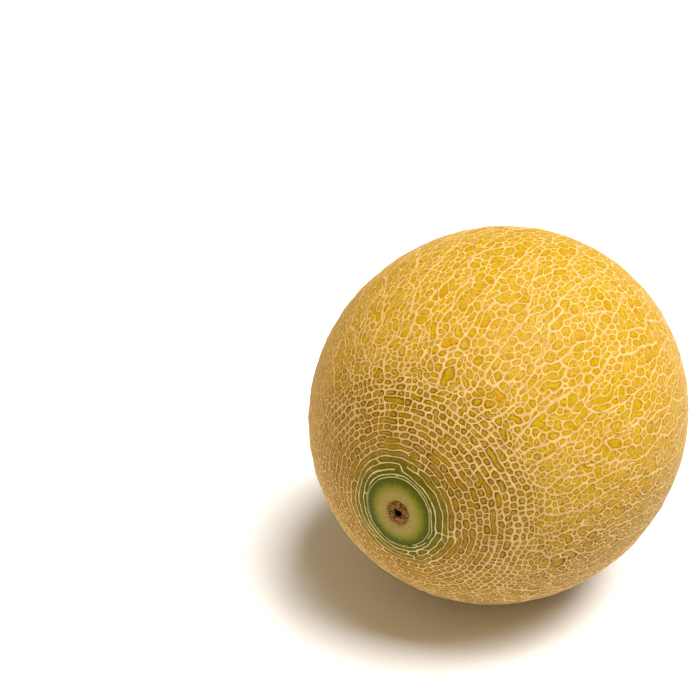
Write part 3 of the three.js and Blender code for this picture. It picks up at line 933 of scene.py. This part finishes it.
class MELON_OT_netted_rind(bpy.types.Operator):
    """Build the whole rind with its raised net as one closed skin"""
    bl_idname = "melon.netted_rind"
    bl_label = "Netted rind"

    def execute(self, context):
        sizes, colours = context.scene.melon_body, context.scene.melon_colours
        rng = np.random.default_rng(sizes.seed)
        body = Body(sizes)
        net = Net(body, rng)
        patch, crest_numbers = netted_patchwork(body, net, sizes, rng)
        close_end(patch, body, net, crest_numbers, STEM_END, True)
        close_end(patch, body, net, crest_numbers, BLOSSOM_END, False)
        place_piece(context, "netted_rind", patch, body, [waxy_rind(colours), corky_net(colours)])
        return {"FINISHED"}


class MELON_OT_stem_scar(bpy.types.Operator):
    """Build the ragged corky ring where the fruit came off its stem"""
    bl_idname = "melon.stem_scar"
    bl_label = "Stem scar"

    def execute(self, context):
        sizes, colours = context.scene.melon_body, context.scene.melon_colours
        body = Body(sizes)
        patch = crusted_patchwork(body, SCAR, True, np.random.default_rng(sizes.seed + 1))
        place_piece(context, "stem_scar", patch, body, [dry_scar_cork(colours)])
        return {"FINISHED"}


class MELON_OT_blossom_button(bpy.types.Operator):
    """Build the small corky button that the flower left"""
    bl_idname = "melon.blossom_button"
    bl_label = "Blossom button"

    def execute(self, context):
        sizes, colours = context.scene.melon_body, context.scene.melon_colours
        body = Body(sizes)
        patch = crusted_patchwork(body, BUTTON, False, np.random.default_rng(sizes.seed + 2))
        place_piece(context, "blossom_button", patch, body, [dry_scar_cork(colours)])
        return {"FINISHED"}


CAMERA_AZIMUTH = math.radians(32.03)
CAMERA_ELEVATION = math.radians(31.25)
CAMERA_DISTANCE = 679.4 * MM  # to the middle of the melon
PICTURE_SIDE = 700
LENS_IN_PIXELS = 1700
MELON_AT = (147.6, 62.6)  # its middle in the picture, in pixels right of and below the centre

# The way from the melon to each light, as shares to the right, upwards and towards the camera;
# then its distance and width in metres, its power in watts and its colour
LIGHTS = {
    "key": ((0.35, 0.8, 0.58), 2.0, 1.4, 88, (1, 1, 1)),
    "bounce": ((-1.0, -0.05, 0.3), 0.9, 0.5, 2.3, (1.0, 0.78, 0.25)),
}
SKY_COLOUR = (1.0, 0.85, 0.7, 1.0)
SKY_STRENGTH = 0.24
FLOOR_HALF = 3.0  # metres


class MELON_OT_stage(bpy.types.Operator):
    """Set a pale floor, a soft key light with a warm bounce, and the camera"""
    bl_idname = "melon.stage"
    bl_label = "Floor, light and camera"

    def execute(self, context):
        scene = context.scene
        self.add_floor(scene)
        middle = Vector((LOW + HIGH) / 2)
        a, e = CAMERA_AZIMUTH, CAMERA_ELEVATION
        right = Vector((math.cos(a), math.sin(a), 0))
        up = Vector((-math.sin(a) * math.sin(e), math.cos(a) * math.sin(e), math.cos(e)))
        back = right.cross(up)
        self.add_camera(scene, middle, right, up, back)
        for name, (way, *settings) in LIGHTS.items():
            self.add_light(scene, name, middle, right * way[0] + up * way[1] + back * way[2], *settings)
        world = bpy.data.worlds.new("studio")
        world.use_nodes = True
        world.node_tree.nodes["Background"].inputs["Color"].default_value = SKY_COLOUR
        world.node_tree.nodes["Background"].inputs["Strength"].default_value = SKY_STRENGTH
        scene.world = world
        scene.view_settings.view_transform = "Standard"
        return {"FINISHED"}

    def add_floor(self, scene):
        """A flat square of matt white paper under the melon."""
        sweep = bpy.data.meshes.new("floor")
        ways = [(-1, -1), (1, -1), (1, 1), (-1, 1)]
        corners = [(x * FLOOR_HALF, y * FLOOR_HALF, LOW[2]) for x, y in ways]
        sweep.from_pydata(corners, [], [(0, 1, 2, 3)])
        material, add = new_material("matt_white_paper")
        paper = add("BsdfPrincipled", {"Base Color": rgba(scene.melon_colours.floor), "Roughness": 0.9})
        add("OutputMaterial", {"Surface": paper})
        sweep.materials.append(material)
        floor = bpy.data.objects.new("floor", sweep)
        scene.collection.objects.link(floor)

    def add_camera(self, scene, middle, right, up, back):
        """A camera that looks past the melon, so that it stands right of and below the centre."""
        towards = right * MELON_AT[0] - up * MELON_AT[1] - back * LENS_IN_PIXELS
        lens = bpy.data.cameras.new("camera")
        lens.sensor_width = 36
        lens.lens = LENS_IN_PIXELS / PICTURE_SIDE * lens.sensor_width
        camera = bpy.data.objects.new("camera", lens)
        turned = Matrix((right, up, back)).transposed().to_4x4()
        camera.matrix_world = Matrix.Translation(middle - towards.normalized() * CAMERA_DISTANCE) @ turned
        scene.collection.objects.link(camera)
        scene.camera = camera

    def add_light(self, scene, name, target, direction, distance, size, power, colour):
        """A square soft light that shines at the target from a direction."""
        lamp = bpy.data.lights.new(name, "AREA")
        lamp.size = size
        lamp.energy = power
        lamp.color = colour
        light = bpy.data.objects.new(name, lamp)
        light.location = target + direction.normalized() * distance
        light.rotation_euler = direction.to_track_quat("Z", "Y").to_euler()
        scene.collection.objects.link(light)


class MELON_PT_panel(bpy.types.Panel):
    """The melon's sizes, colours and steps"""
    bl_label = "Galia Melon"
    bl_idname = "MELON_PT_panel"
    bl_space_type = "VIEW_3D"
    bl_region_type = "UI"
    bl_category = "Melon"

    def draw(self, context):
        for group in (context.scene.melon_body, context.scene.melon_colours):
            box = self.layout.box()
            for name in group.__annotations__:
                box.prop(group, name)
        for operator in OPERATORS:
            self.layout.operator(operator.bl_idname)


OPERATORS = (MELON_OT_netted_rind, MELON_OT_stem_scar, MELON_OT_blossom_button, MELON_OT_stage)
CLASSES = (MelonBody, MelonColours, *OPERATORS, MELON_PT_panel)


def register():
    for cls in CLASSES:
        bpy.utils.register_class(cls)
    bpy.types.Scene.melon_body = PointerProperty(type=MelonBody)
    bpy.types.Scene.melon_colours = PointerProperty(type=MelonColours)


def unregister():
    del bpy.types.Scene.melon_colours
    del bpy.types.Scene.melon_body
    for cls in reversed(CLASSES):
        bpy.utils.unregister_class(cls)


def main():
    register()
    bpy.ops.melon.netted_rind()
    bpy.ops.melon.stem_scar()
    bpy.ops.melon.blossom_button()
    bpy.ops.melon.stage()


if __name__ == "__main__":
    main()
